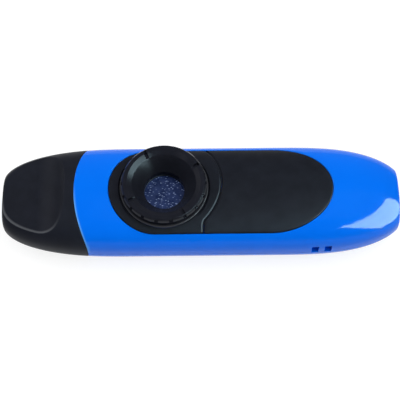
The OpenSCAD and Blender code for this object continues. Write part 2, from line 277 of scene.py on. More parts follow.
def makePiece(name, build, material, slotName, bodyName, *nodes, sharp=38):
    mesh = {"points": [], "faces": [], "count": 0}
    build(mesh)
    data = bpy.data.meshes.new(name)
    data.from_pydata((np.concatenate(mesh["points"]) * mm).tolist(), [], mesh["faces"])
    work = bmesh.new()
    work.from_mesh(data)
    bmesh.ops.remove_doubles(work, verts=work.verts, dist=weld["merge"] * mm)
    bmesh.ops.dissolve_degenerate(work, edges=work.edges, dist=weld["speck"] * mm)
    bmesh.ops.recalc_face_normals(work, faces=work.faces)
    openEdges = sum(not e.is_manifold for e in work.edges)
    work.to_mesh(data)
    work.free()
    data.shade_smooth()
    data.set_sharp_from_angle(angle=math.radians(sharp))
    data.materials.append(material)
    piece = show(name, data)
    even = piece.modifiers.new("evenShading", "WEIGHTED_NORMAL")
    even.keep_sharp = True
    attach(piece, bodyName)
    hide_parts(*nodes)
    print("made", name, len(data.polygons), "faces,", openEdges, "open edges")
    return piece


# painted edge highlights: a weight on every vertex, read by the finish, which paints a paler colour there
def paintEdgeHighlights(piece, weight):
    x, y, z = (np.array([v.co for v in piece.data.vertices]) / mm).T
    piece.data.attributes.new("paintedEdgeHighlight", "FLOAT", "POINT").data.foreach_set("value", weight(x, y, z))


# finishes


# inputs of a node by name, as values or as outputs of other nodes
def fill(tree, node, inputs):
    for name, value in inputs.items():
        socket = node.inputs[name]
        if isinstance(value, bpy.types.NodeSocket):
            tree.links.new(value, socket)
        else:
            socket.default_value = (*value, 1) if socket.type == "RGBA" else value


def addNode(tree, kind, inputs, **settings):
    node = tree.nodes.new("ShaderNode" + kind)
    for name, value in settings.items():
        setattr(node, name, value)
    fill(tree, node, inputs)
    return node


def newFinish(name):
    material = bpy.data.materials.new(name)
    material.use_nodes = True
    tree = material.node_tree
    return material, tree, tree.nodes["Principled BSDF"], addNode(tree, "TexCoord", {}).outputs["Object"]


# what the noise mostly gives, a narrower band for colours than for gloss
noise = {"rough": 0.55, "colour": (0.35, 0.65), "gloss": (0.3, 0.7)}


def noiseNode(tree, place, scale, detail):
    inputs = {"Vector": place, "Scale": scale, "Detail": detail, "Roughness": noise["rough"]}
    return addNode(tree, "TexNoise", inputs).outputs["Fac"]


def rangeNode(tree, value, fromLow, fromHigh, toLow, toHigh):
    inputs = {"Value": value, "From Min": fromLow, "From Max": fromHigh, "To Min": toLow, "To Max": toHigh}
    return addNode(tree, "MapRange", inputs).outputs["Result"]


def mixColour(tree, factor, first, second):
    return addNode(tree, "Mix", {"Factor": factor, 6: first, 7: second}, data_type="RGBA").outputs[2]


def mathNode(tree, operation, first, second):
    return addNode(tree, "Math", {0: first, 1: second}, operation=operation).outputs["Value"]


def bumpNode(tree, height, strength, depth):
    inputs = {"Height": height, "Strength": strength, "Distance": depth * mm}
    return addNode(tree, "Bump", inputs).outputs["Normal"]


# moulded plastic: a faint mottle in the colour, a changing gloss, a fine grain and, where the look gives one,
# a painted highlight along edges
def mouldedPlastic(name, look):
    material, tree, shader, place = newFinish(name)
    mottle = noiseNode(tree, place, look["mottleScale"], 4)
    tone = rangeNode(tree, mottle, *noise["colour"], 0, 1)
    base = mixColour(tree, tone, look["colour"], look["shade"])
    # painted highlight: the colour turns to the look's paler edge colour where the vertex weight is high
    if "highlightColour" in look:
        paintedGleam = addNode(tree, "Attribute", {}, attribute_name="paintedEdgeHighlight")
        base = mixColour(tree, paintedGleam.outputs["Fac"], base, look["highlightColour"])
    smear = noiseNode(tree, place, look["smearScale"], 5)
    grain = noiseNode(tree, place, look["grainScale"], 2)
    fill(tree, shader, {
        "Base Color": base,
        "Roughness": rangeNode(tree, smear, *noise["gloss"], *look["rough"]),
        "Normal": bumpNode(tree, grain, look["grain"], look["grainDepth"]),
        "IOR": look["ior"]})
    return material


blueLook = {
    "colour": (0.0003, 0.176, 0.95),
    "shade": (0.0003, 0.166, 0.92),
    # colour of the painted edge highlight
    "highlightColour": (0.12, 0.42, 0.97),
    "mottleScale": 60,
    "smearScale": 90,
    "rough": (0.07, 0.11),
    "grainScale": 700,
    "grain": 0.05,
    "grainDepth": 0.02,
    "ior": 1.22,
}
mouthLook = {
    "colour": (0.0122, 0.0138, 0.0212),
    "shade": (0.0100, 0.0114, 0.0174),
    # colour of the painted edge highlight
    "highlightColour": (0.105, 0.112, 0.125),
    "mottleScale": 220,
    "smearScale": 160,
    "rough": (0.36, 0.44),
    "grainScale": 5200,
    "grain": 0.16,
    "grainDepth": 0.03,
    "ior": 1.14,
}
panelLook = {
    "colour": (0.0105, 0.0120, 0.0185),
    "shade": (0.0083, 0.0095, 0.0147),
    "mottleScale": 260,
    "smearScale": 200,
    "rough": (0.38, 0.46),
    "grainScale": 4200,
    "grain": 0.2,
    "grainDepth": 0.03,
    "ior": 1.16,
}
capLook = {
    "colour": (0.0142, 0.0156, 0.0226),
    "shade": (0.0116, 0.0128, 0.0186),
    # colour of the painted edge highlight
    "highlightColour": (0.048, 0.050, 0.056),
    "mottleScale": 300,
    "smearScale": 260,
    "rough": (0.18, 0.25),
    "grainScale": 3600,
    "grain": 0.1,
    "grainDepth": 0.02,
    "ior": 1.12,
}
innerLook = {
    "colour": (0.010, 0.010, 0.013),
    "shade": (0.007, 0.007, 0.010),
    "mottleScale": 300,
    "smearScale": 200,
    "rough": (0.4, 0.5),
    "grainScale": 3000,
    "grain": 0.15,
    "grainDepth": 0.03,
    "ior": 1.45,
}
gasketLook = {
    "colour": (0.16, 0.17, 0.19),
    "shade": (0.12, 0.13, 0.15),
    "mottleScale": 500,
    "smearScale": 400,
    "rough": (0.6, 0.75),
    "grainScale": 4000,
    "grain": 0.3,
    "grainDepth": 0.03,
    "ior": 1.45,
}
filmLook = {
    "deep": (0.010, 0.021, 0.076),
    "pale": (0.017, 0.034, 0.118),
    "fleck": (0.30, 0.40, 0.70),
    "cloudScale": 380,
    "fleckScale": 1150,
    "fleckTurn": 35,
    "fleckStretch": 1.9,
    "fleckEdge": (0.14, 0.36),   # from the middle of a fleck to where it ends
    "fleckPick": (0.2, 0.95),    # cells below the first show no fleck
    "rough": (0.22, 0.36),
    "creaseScale": 420,
    "crease": 0.5,
    "creaseDepth": 0.06,
    "ior": 1.3,
}


# thin dark film with pale flecks and small creases
def speckledFilm(name, look):
    material, tree, shader, place = newFinish(name)
    cloud = noiseNode(tree, place, look["cloudScale"], 4)
    tone = rangeNode(tree, cloud, *noise["colour"], 0, 1)
    ground = mixColour(tree, tone, look["deep"], look["pale"])
    turn, stretch = (0, 0, math.radians(look["fleckTurn"])), (1, look["fleckStretch"], 1)
    skewed = addNode(tree, "Mapping", {"Vector": place, "Rotation": turn, "Scale": stretch})
    cells = addNode(tree, "TexVoronoi", {"Vector": skewed.outputs["Vector"], "Scale": look["fleckScale"]})
    flecks = rangeNode(tree, cells.outputs["Distance"], *look["fleckEdge"], 1, 0)
    pick = addNode(tree, "SeparateColor", {"Color": cells.outputs["Color"]})
    shown = rangeNode(tree, pick.outputs["Red"], *look["fleckPick"], 0, 1)
    both = mathNode(tree, "MULTIPLY", flecks, shown)
    crease = noiseNode(tree, place, look["creaseScale"], 3)
    fill(tree, shader, {
        "Base Color": mixColour(tree, both, ground, look["fleck"]),
        "Roughness": rangeNode(tree, cloud, *noise["gloss"], *look["rough"]),
        "Normal": bumpNode(tree, crease, look["crease"], look["creaseDepth"]),
        "IOR": look["ior"]})
    return material


bluePlastic = mouldedPlastic("bluePlastic", blueLook)
mouthBlack = mouldedPlastic("mouthBlack", mouthLook)
panelBlack = mouldedPlastic("panelBlack", panelLook)
capBlack = mouldedPlastic("capBlack", capLook)
innerBlack = mouldedPlastic("innerBlack", innerLook)
gasketGrey = mouldedPlastic("gasketGrey", gasketLook)
darkFilm = speckledFilm("darkFilm", filmLook)
print("finishes ready")

# upper shell: the skin runs in spokes from the panel recess out to the parting line, the tail and the joint

upper = {
    "recessEdge": 0.28,
    "partingEdge": 0.2,
    "tailEdge": 0.5,
    "jointEdge": 0.16,
    "highlightW": 0.5,
    "highlightBack": 0.1,      # the painted highlight runs this far behind the joint
    "highlightFade": (-6, 2),  # and ends between these places across the body
    "tailTurn": 25,      # degrees of the rear curve whose spokes end on the tail
    "jointTurn": 42,     # degrees of the front curve whose spokes end beside the joint
    "uprightAt": 0.56,   # share of the way at which the spokes to the strap eyes stand upright
    "crossX": 5.6,       # line under the panels between the well and the tray
    "rows": 26,
    "innerRows": 14,
    "floorRows": 5,
    "crossPoints": 24,
}
# how many spokes each stretch of the shell's edge gets
spokeCount = {"toEyes": 12, "eye": 5, "bar": 5, "toTail": 20, "tail": 40, "rear": 40,
              "lid": 14, "panel": 16, "side": 22, "joint": 56}
eye = {
    "x": 36.1,
    "width": 2.1,
    "height": 3.4,
    "bar": 1.8,
    "depth": 2.4,
    "pocketWall": 0.8,
    "sunk": 0.25,        # how far the pocket's walls run into the shell
    "clear": 0.02,       # and stay above the parting line
    "liftShare": 0.3,    # how much the step up at an eye counts in the spread of the spokes
    "upright": (5, 20),  # spokes lean again between these distances behind the eyes
}
tray = {"len": 25, "wall": 1.2, "corner": 3, "edge": 0.15, "foot": 0.5, "base": 0.4, "points": 144}
tray["w"] = trayHigh[1] - trayLow[1] - 2 * tray["wall"]
tray["x"] = (trayLow[0] + trayHigh[0]) / 2
well = {"r": cap["flangeR"] + 0.4, "land": 19.9, "holeR": cap["flangeR"] - 1.2, "floor": seatLow[2]}


# places along the near parting line behind the panels, with the two strap eyes as steps
def nearEdgeSteps():
    eyeMid = (eye["bar"] + eye["width"]) / 2
    first = eye["x"] - eyeMid - eye["width"] / 2
    last = eye["x"] + eyeMid + eye["width"] / 2
    steps = [(x, 0) for x in np.linspace(inlay["rearX"], first, spokeCount["toEyes"])[:-1]]
    for side in (-1, 1):
        low = eye["x"] + side * eyeMid - eye["width"] / 2
        high = low + eye["width"]
        over = [(x, eye["height"]) for x in np.linspace(low, high, spokeCount["eye"])]
        steps += [(low, 0), *over, (high, 0)]
        if side < 0:
            steps += [(x, 0) for x in np.linspace(high, high + eye["bar"], spokeCount["bar"])[1:-1]]
    return steps + [(x, 0) for x in np.linspace(last, body["halfLen"], spokeCount["toTail"])[1:-1]]


# every spoke: its start on the recess (centre, radius, angle) and its end (side, place, lift)
def shellSpokes():
    near = nearEdgeSteps()
    along, up = np.diff(np.array(near), axis=0).T
    travel = np.concatenate([[0], np.cumsum(np.hypot(along, eye["liftShare"] * up))])
    travel = travel / (travel[-1] + 1)
    turn, side = upper["tailTurn"], upper["jointTurn"]
    tailX, rearX, crossX = body["halfLen"], inlay["rearX"], upper["crossX"]
    frontX, cornerX = inlay["frontX"], float(jointCorner(0))
    rearR, frontR = inlay["rearLen"], inlay["r"]
    # the edge after the strap eyes: centres, radius and angles at the recess, and the places where spokes end
    stretches = (
        ("tail", (rearX, rearX), rearR, (-turn, turn), "tail", (0, 1)),
        ("rear", (rearX, rearX), rearR, (turn, 90), "far", (tailX, rearX)),
        ("lid", (rearX, crossX), 0, (90, 90), "far", (rearX, crossX)),
        ("panel", (crossX, frontX), 0, (90, 90), "far", (crossX, frontX)),
        ("side", (frontX, frontX), frontR, (90, 90 + side), "far", (frontX, cornerX)),
        ("joint", (frontX, frontX), frontR, (90 + side, 270 - side), "joint", (0, 1)),
        ("side", (frontX, frontX), frontR, (270 - side, 270), "near", (cornerX, frontX)),
        ("panel", (frontX, crossX), 0, (270, 270), "near", (frontX, crossX)),
        ("lid", (crossX, rearX), 0, (270, 270), "near", (crossX, rearX)),
    )
    spokes = [(rearX, rearR, -90 + (90 - turn) * t, "near", x, lift) for t, (x, lift) in zip(travel, near)]
    for stretch, centres, r, angles, edge, places in stretches:
        count = spokeCount[stretch]
        steps = (np.linspace(*ends, count, endpoint=False) for ends in (centres, angles, places))
        spokes += [(x, r, angle, edge, place, 0) for x, angle, place in zip(*steps)]
    return spokes


spokeX, spokeR, spokeAngle, endSide, endPlace, endLift = (np.array(column) for column in zip(*shellSpokes()))
spokeAngle = np.radians(spokeAngle)
farCross, nearCross = np.flatnonzero((spokeR == 0) & (endPlace == upper["crossX"]))


def recessOutline(grow):
    x = spokeX + (spokeR + grow) * np.cos(spokeAngle)
    y = (inlay["r"] + grow) * np.sin(spokeAngle)
    return np.stack([x, y], -1)


# where the spokes end, as a place along the body and an angle of the section
def shellEdge(inset):
    x, inset = np.array(endPlace), np.broadcast_to(np.asarray(inset, float), endPlace.shape)
    onTail, onJoint = endSide == "tail", endSide == "joint"
    x[onTail] = body["halfLen"]
    x[onJoint] = joint["x"]
    low = partingAngle(x, inset, endLift)
    angle = np.where(endSide == "near", np.pi - low, low)
    angle[onTail] = (np.pi - low + (2 * low - np.pi) * endPlace)[onTail]
    corner = partingAngle(jointCorner(inset), inset, 0)
    angle[onJoint] = (corner + (np.pi - 2 * corner) * endPlace)[onJoint]
    x[onJoint] = jointX(angle[onJoint], inset[onJoint])
    return x, angle


def shellRow(t, inset, grow):
    xy = recessOutline(grow)
    startAngle = angleAt(xy[:, 0], xy[:, 1], inset)
    endX, endAngle = shellEdge(inset)
    # spokes round the strap eyes stand upright before they get there
    leanFrom, leanTo = (eye["x"] + d for d in eye["upright"])
    upright = np.where(endSide == "near", 1 - smooth(leanFrom, leanTo, endX), 0)
    run = t + (smooth(0, upper["uprightAt"], t) - t) * upright
    return skinPoint(xy[:, 0] + (endX - xy[:, 0]) * run, startAngle + (endAngle - startAngle) * t, inset)


# the outline of one half of the recess's floor, and of the hole in it
def floorLoops(first, last, hole):
    count = len(endSide)
    index = np.arange(first, last + 1 if last > first else last + count + 1) % count
    ring = recessOutline(0)[index]
    across = np.linspace(ring[-1, 1], ring[0, 1], upper["crossPoints"])[1:-1]
    ring = np.concatenate([ring, np.stack([np.full(len(across), upper["crossX"]), across], -1)])
    return ring, hole(ring)


def wellHole(ring):
    angle = np.arctan2(ring[:, 1], ring[:, 0] - cap["x"])
    return around(cap["x"], well["r"] + inlay["slip"], angle)


def trayHole(ring):
    angle = np.arctan2(ring[:, 1], ring[:, 0] - tray["x"])
    halfX, halfY = tray["len"] / 2 + inlay["slip"], tray["w"] / 2 + inlay["slip"]
    return around(tray["x"], roundRectReach(angle, halfX, halfY, tray["corner"]), angle)


def upperShell(mesh):
    wallEdge = upper["recessEdge"]
    outline = recessOutline(0)
    rows = [onSkin(outline, inlay["depth"])]
    for out, down in fromWall:
        xy = recessOutline(wallEdge * out)
        rows.append(onSkin(xy, 0, wallEdge * down))
    rounding = np.full(len(endSide), upper["partingEdge"])
    for side in ("tail", "joint"):
        rounding[endSide == side] = upper[side + "Edge"]
    # each spoke's length by its last tenth
    length = np.linalg.norm(shellRow(1, 0, wallEdge) - shellRow(0.9, 0, wallEdge), axis=1) * 10
    lastT = 1 - rounding / length
    rows += [shellRow(lastT * t, 0, wallEdge) for t in np.linspace(0, 1, upper["rows"])[1:]]
    for out, down in toWall[1:]:
        rows.append(shellRow(1 - rounding * out / length, rounding * down, wallEdge))
    rows += [shellRow(t, body["wall"], 0) for t in np.linspace(1, 0, upper["innerRows"])]
    addGrid(mesh, rows)
    for first, last, hole in ((farCross, nearCross, wellHole), (nearCross, farCross, trayHole)):
        ring, edge = floorLoops(first, last, hole)
        rings = [ring + (edge - ring) * t for t in np.linspace(0, 1, upper["floorRows"])]
        top = [onSkin(xy, inlay["depth"]) for xy in rings]
        low = [onSkin(xy, body["wall"]) for xy in rings]
        addGrid(mesh, top + low[::-1])
    addStrapPocket(mesh)
    addSpigot(mesh)


# box behind the two eyes that keeps the strap's way apart from the breath
def addStrapPocket(mesh):
    span, wall = 2 * eye["width"] + eye["bar"], eye["pocketWall"]
    start = body["wall"] - eye["sunk"] - float(halfWidth(eye["x"]))
    loops = []
    for grow, deep in ((0, 0), (0, eye["depth"]), (wall, eye["depth"] + wall), (wall, 0)):
        left, right = eye["x"] - span / 2 - grow, eye["x"] + span / 2 + grow
        low, high = body["parting"] + eye["clear"], body["parting"] + eye["height"] + grow
        y = start + deep
        loops.append([(left, y, low), (right, y, low), (right, y, high), (left, y, high)])
    addGrid(mesh, [loops[3], loops[0], loops[1]])
    addGrid(mesh, [loops[3], loops[2]])
    for loop in (loops[1], loops[2]):
        addGrid(mesh, [loop[:2], loop[:1:-1]], wrapAcross=False)


# tube that the mouthpiece is pushed on
def addSpigot(mesh):
    turn = fullTurn(spigot["sides"])
    root, tip = joint["x"] + spigot["root"], joint["x"] - spigot["len"]
    edge, wall = spigot["edge"], spigot["wall"]
    loops = []
    for inset, x in ((0, root), (0, tip + edge), (edge, tip), (wall, tip), (wall, root)):
        halfY, halfZ = spigot["width"] / 2 - inset, spigot["height"] / 2 - inset
        yz = around(0, roundRectReach(turn, halfY, halfZ, halfZ), turn)
        loops.append([(x, y, body["mid"] + z) for y, z in yz])
    addGrid(mesh, loops, wrapAlong=True)


# painted highlight along the near half of the edge at the mouthpiece
def jointHighlight(x, y, z):
    onEdge = np.clip(1 - np.abs(x - jointLine(y) - upper["highlightBack"]) / upper["highlightW"], 0, 1)
    return onEdge * (1 - smooth(*upper["highlightFade"], y)) * (z > body["mid"])


# the blue shell gets a painted highlight along its edge at the mouthpiece
paintEdgeHighlights(makePiece("upperShell", upperShell, bluePlastic, "body_blue", "body", "upper_shell"), jointHighlight)

# lower shell: a trough with a flat base

lower = {"rows": 96, "arc": 84, "startX": -20.0, "baseRound": 0.12}


# the underside is cut flat at the floor, with a soft edge
def flatBase(points):
    z = points[..., 2]
    points[..., 2] = 0.5 * (z + np.sqrt(z * z + lower["baseRound"] ** 2))
    return points


def edgeTurns(kind):
    size = upper[kind + "Edge"]
    return [(kind, size * out, size * down) for out, down in toWall]


# lift and inset of a row from the near parting edge round the base to the far one;
# only the outer skin has rounded edges
def lowerEdges(deep, rounded):
    size = upper["partingEdge"] if rounded else 0
    plain = np.zeros(lower["arc"] - 2)
    lift, inset = -size * edgeOut, np.maximum(size * edgeDown, deep)
    return np.concatenate([lift[::-1], plain, lift]), np.concatenate([inset[::-1], plain + deep, inset])


def lowerRow(kind, place, deep, rounded):
    lift, inset = lowerEdges(deep, rounded)
    near = np.arange(len(lift)) < len(edgeOut)
    base = slice(len(edgeOut), -len(edgeOut))
    share = np.linspace(0, 1, lower["arc"])[1:-1]
    x = np.full(len(lift), lower["startX"])
    # place and angle depend on each other, so they settle in a few rounds
    for _ in range(settle["few"]):
        low = partingAngle(x, inset, lift)
        angle = np.where(near, np.pi - low, 2 * np.pi + low)
        low = partingAngle(x, inset, -upper["partingEdge"])[base]
        angle[base] = np.pi - low + (np.pi + 2 * low) * share
        first, last = jointX(angle, inset), body["halfLen"]
        if kind == "joint":
            x = first + place
        elif kind == "tail":
            x = np.full(len(x), last - place)
        else:
            first, last = first + upper["jointEdge"], last - upper["tailEdge"]
            x = first + (last - first) * place
    return flatBase(skinPoint(x, angle, inset))


def lowerShell(mesh):
    run = [("run", share, 0) for share in np.linspace(0, 1, lower["rows"])[1:-1]]
    steps = edgeTurns("joint")[::-1] + run + edgeTurns("tail")
    outer = [lowerRow(kind, place, pull, True) for kind, place, pull in steps]
    inner = [lowerRow(kind, place, body["wall"], False) for kind, place, pull in steps]
    addPlate(mesh, outer, inner)


makePiece("lowerShell", lowerShell, bluePlastic, "body_blue", "body", "lower_shell")

# mouthpiece: a hollow tip with a dished shelf for the lip

mouth = {
    "shelfZ": 5.9,
    "shelfLen": 10.2,
    "shelfR": 11.5,
    "tipDrop": 0.6,      # the shelf falls a little to the tip
    "crestRound": 0.36,
    "endRound": 0.5,
    "slotW": 10.4,
    "slotH": 4.6,
    "slotRound": 0.35,
    "socketSlip": 0.05,
    "jointEdge": 0.18,
    "highlightW": 0.52,
    "highlightFade": (-4, 1),    # the painted highlight ends between these places across the mouthpiece
    "highlightCrest": (3, 9),    # and between these distances behind the shelf's flat part
    "rows": 132,
    "lastRow": 0.985,      # share of the way to the joint
    "creaseTop": 66,       # degrees up the section, the most the close band climbs
    "creaseBand": 5,
    "angles": (34, 16, 26),
}
mouth["shelfX"] = -body["halfLen"] + mouth["shelfLen"]


def shelfHeight(x):
    run = np.clip(x - mouth["shelfX"], 0, mouth["shelfR"] - 0.01)
    fall = mouth["tipDrop"] * np.clip((mouth["shelfX"] - x) / mouth["shelfLen"], 0, 1)
    return body["mid"] + mouth["shelfZ"] - fall + mouth["shelfR"] - np.sqrt(mouth["shelfR"] ** 2 - run ** 2)


# the lower of two heights, rounded where they meet
def softMin(a, b, width):
    h = np.clip(0.5 + 0.5 * (b - a) / width, 0, 1)
    return b + (a - b) * h - width * h * (1 - h)


# section angles of one row, close together where the shelf's edge runs
def mouthAngles(f):
    crease = np.radians(40)
    for _ in range(settle["few"]):
        x = -body["halfLen"] + (jointX(np.array(crease), 0) + body["halfLen"]) * f
        share = (shelfHeight(x) - body["mid"]) / halfHeight(x)
        climb = math.asin(min(float(share), 1) ** (body["power"] / 2))
        crease = min(climb, math.radians(mouth["creaseTop"]))
    tight = math.radians(mouth["creaseBand"])
    stops = (-np.pi / 2, crease - tight, crease + tight, np.pi / 2)
    half = np.concatenate([
        np.linspace(low, high, count, endpoint=False)
        for low, high, count in zip(stops, stops[1:], mouth["angles"])])
    return np.concatenate([half, [np.pi / 2], np.pi - half[:0:-1]])


# one row of the tip: f runs from the end (0) to the joint (1)
def mouthRow(f, pull, inset, atJoint=False):
    angle = mouthAngles(f)
    edge = jointX(angle, inset)
    x = -body["halfLen"] + (edge + body["halfLen"]) * f
    x = edge - pull if atJoint else np.maximum(x, -body["halfLen"] + pull)
    points = flatBase(skinPoint(x, angle, inset))
    shelf = softMin(points[:, 2], shelfHeight(x) - inset, mouth["crestRound"])
    points[:, 2] = np.where(np.sin(angle) > 0, shelf, points[:, 2])
    return points


# a row with round ends inside another one, at a place or else on the joint line
def stadiumRow(like, width, height, x=None):
    turn = np.arctan2(like[:, 2] - body["mid"], like[:, 1])
    reach = roundRectReach(turn, width / 2, height / 2, height / 2)
    y = reach * np.cos(turn)
    x = jointLine(y) if x is None else np.full(len(turn), x)
    return np.stack([x, y, body["mid"] + reach * np.sin(turn)], -1)


def mouthTip(mesh):
    endX, slip = -body["halfLen"], mouth["socketSlip"]
    socketX = joint["x"] - spigot["len"] - slip
    r = mouth["endRound"]
    rows = []
    for out, down in fromWall:
        row = mouthRow(0, r * out, r * down)
        row[:, 0] = endX + r * out
        rows.append(row)
    start = r / (joint["x"] - endX)
    rows += [mouthRow(f, r, 0) for f in np.linspace(start, mouth["lastRow"], mouth["rows"])[1:]]
    for out, down in toWall:
        rows.append(mouthRow(1, mouth["jointEdge"] * out, mouth["jointEdge"] * down, atJoint=True))
    socket = (spigot["width"] + 2 * slip, spigot["height"] + 2 * slip)
    rows.append(stadiumRow(rows[-1], *socket))
    rows.append(stadiumRow(rows[0], *socket, socketX))
    rows.append(stadiumRow(rows[0], mouth["slotW"], mouth["slotH"], socketX))
    lip = mouth["slotRound"]
    for out, down in fromWall:
        grow = 2 * lip * out
        rows.append(stadiumRow(rows[0], mouth["slotW"] + grow, mouth["slotH"] + grow, endX + lip * down))
    addGrid(mesh, rows, wrapAlong=True)


# painted highlight along the near edge of the shelf, fading out where it turns up to the crest
def shelfHighlight(x, y, z):
    across = np.abs(skinZ(x, y) - shelfHeight(x)) + np.abs(z - shelfHeight(x))
    nearSide = 1 - smooth(*mouth["highlightFade"], y)
    beforeCrest = 1 - smooth(*mouth["highlightCrest"], x - mouth["shelfX"])
    return np.clip(1 - across / mouth["highlightW"], 0, 1) * nearSide * beforeCrest


# the mouthpiece gets a painted highlight along the shelf's near edge
paintEdgeHighlights(makePiece("mouthTip", mouthTip, mouthBlack, "mouthpiece_black", "body", "mouthpiece"), shelfHighlight)

# the two black panels on the top, split by the shut line

panel = {
    "thick": 1.15,
    "edge": 0.2,
    "shutEdge": 0.5,
    "lidShutEdge": 0.3,
    "wellEdge": 0.22,
    "holeEdge": 0.15,
    "ledge": 0.32,       # strip along the shut line that closes the gap to the lid
    "ledgeT": 0.95,
    "ledgeFade": (0.6, 0.1),   # distances from the panel's sides over which the ledge ends
    "edgeShare": 0.4,    # the most of the strip beside the well that a rounding takes
    "stepShare": 0.45,   # and of the step down to the land
    "r": lidHigh[1],
    "sidePoints": 30,
    "arcPoints": 90,
    "topRows": 12,
    "landRows": 5,
    "shutPoints": (7, 16, 70),
}


# x of the shut line: straight at the near side, a bend, and an arc round the cap
def shutLine(y, shift):
    bendX = shut["x"] + shift + shut["bend"]
    reach = shut["r"] + shut["bend"]
    bendY = shut["y"] - math.sqrt(reach ** 2 - (bendX - cap["x"] - shift) ** 2)
    tangentY = shut["y"] + (bendY - shut["y"]) * shut["r"] / reach
    onBend = bendX - np.sqrt(np.maximum(shut["bend"] ** 2 - (y - bendY) ** 2, 0))
    onArc = cap["x"] + shift + np.sqrt(np.maximum(shut["r"] ** 2 - (y - shut["y"]) ** 2, 0))
    return np.where(y < bendY, shut["x"] + shift, np.where(y < tangentY, onBend, onArc)), bendY, tangentY


def shutPoints(shift):
    _, bendY, tangentY = shutLine(np.array(0.0), shift)
    stops = (-panel["r"], bendY, tangentY, panel["r"])
    parts = [np.linspace(*ends) for ends in zip(stops, stops[1:], panel["shutPoints"])]
    y = np.concatenate([parts[0][:-1], parts[1][:-1], parts[2]])
    return np.stack([shutLine(y, shift)[0], y], -1)


def sidePoints(fromX, toX, y, count):
    x = np.linspace(fromX, toX, count)[1:-1]
    return np.stack([x, np.full(len(x), y)], -1)


def arcPoints(centre, rx, ry, start, end, count):
    turn = np.radians(np.linspace(start, end, count))
    return np.stack([centre + rx * np.cos(turn), ry * np.sin(turn)], -1)


def unit(vectors):
    return vectors / np.linalg.norm(vectors, axis=1)[:, None]


# directions out of a loop, each between those of the two sides that meet there
def outwards(loop):
    tangent = unit(np.roll(loop, -1, 0) - loop) + unit(loop - np.roll(loop, 1, 0))
    return unit(np.stack([tangent[:, 1], -tangent[:, 0]], -1))


# a panel's wall and its rounded upper edge
def panelEdgeRows(loop, rounding):
    normal = outwards(loop)
    rows = [onSkin(loop, panel["thick"])]
    for out, down in fromWall:
        xy = loop - normal * (rounding * out)[:, None]
        rows.append(onSkin(xy, 0, rounding * down))
    return rows


def frontPanel(mesh):
    r, ledgeT = panel["r"], panel["ledgeT"]
    seam = shutPoints(0)
    loop = np.concatenate([
        seam,
        sidePoints(seam[-1, 0], inlay["frontX"], r, panel["sidePoints"]),
        arcPoints(inlay["frontX"], r, r, 90, 270, panel["arcPoints"]),
        sidePoints(inlay["frontX"], seam[0, 0], -r, panel["sidePoints"])])
    turn = np.arctan2(loop[:, 1], loop[:, 0] - cap["x"])
    strip = np.hypot(loop[:, 0] - cap["x"], loop[:, 1]) - well["r"]
    onSeam = np.arange(len(loop)) < len(seam)
    most = panel["edgeShare"] * strip
    rounding = np.minimum(np.where(onSeam, panel["shutEdge"], panel["edge"]), most)
    rows = panelEdgeRows(loop, rounding)
    # a ledge along the shut line closes the gap to the lid
    fadeFrom, fadeTo = (r - d for d in panel["ledgeFade"])
    ledge = np.where(onSeam, panel["ledge"] * (1 - smooth(fadeFrom, fadeTo, np.abs(loop[:, 1]))), 0)
    shelf = loop + outwards(loop) * ledge[:, None]
    under = skinZ(*loop.T, panel["thick"])
    rows = [at(shelf, under), at(shelf, under + ledgeT), at(loop, under + ledgeT)] + rows[1:]

    def ringXy(radius):
        return around(cap["x"], radius, turn)

    def landZ(xy):
        return np.minimum(skinZ(*xy.T), well["land"])

    step = np.maximum(skinZ(*ringXy(well["r"]).T) - well["land"], 0)
    wellEdge = np.minimum(np.minimum(panel["wellEdge"], panel["stepShare"] * step), most)
    inner, outer = ringXy(well["r"] + wellEdge), rows[-1][:, :2]
    for t in np.linspace(0, 1, panel["topRows"])[1:]:
        xy = outer + (inner - outer) * t
        rows.append(onSkin(xy))
    for out, down in toWall[1:]:
        xy = ringXy(well["r"] + wellEdge * out)
        rows.append(onSkin(xy, 0, wellEdge * down))
    for radius in np.linspace(well["r"], well["holeR"] + panel["holeEdge"], panel["landRows"]):
        rows.append(at(ringXy(radius), landZ(ringXy(radius))))
    hole, tube = ringXy(well["holeR"]), ringXy(well["r"])
    rows.append(at(hole, landZ(hole) - panel["holeEdge"]))
    rows.append(at(hole, well["floor"]))
    rows.append(at(tube, well["floor"]))
    rows.append(onSkin(tube, panel["thick"]))
    addGrid(mesh, rows, wrapAlong=True)


makePiece("frontPanel", frontPanel, panelBlack, "panel_black", "body", "front_panel")

bayLidShape = {
    "centre": 22,
    "rimWall": 1.2,
    "rimEdge": 0.15,
    "rimRoot": 0.3,
    "rimFlat": 0.8,      # place of the foot's edges, as a share of the rim's wall
    "rimPoints": 120,
    "sidePoints": 34,
    "arcPoints": 110,
    "rows": 24,
}


def trayLoop(count, grow):
    turn = fullTurn(count)
    reach = roundRectReach(turn, tray["len"] / 2 + grow, tray["w"] / 2 + grow, tray["corner"] + grow)
    return around(tray["x"], reach, turn)


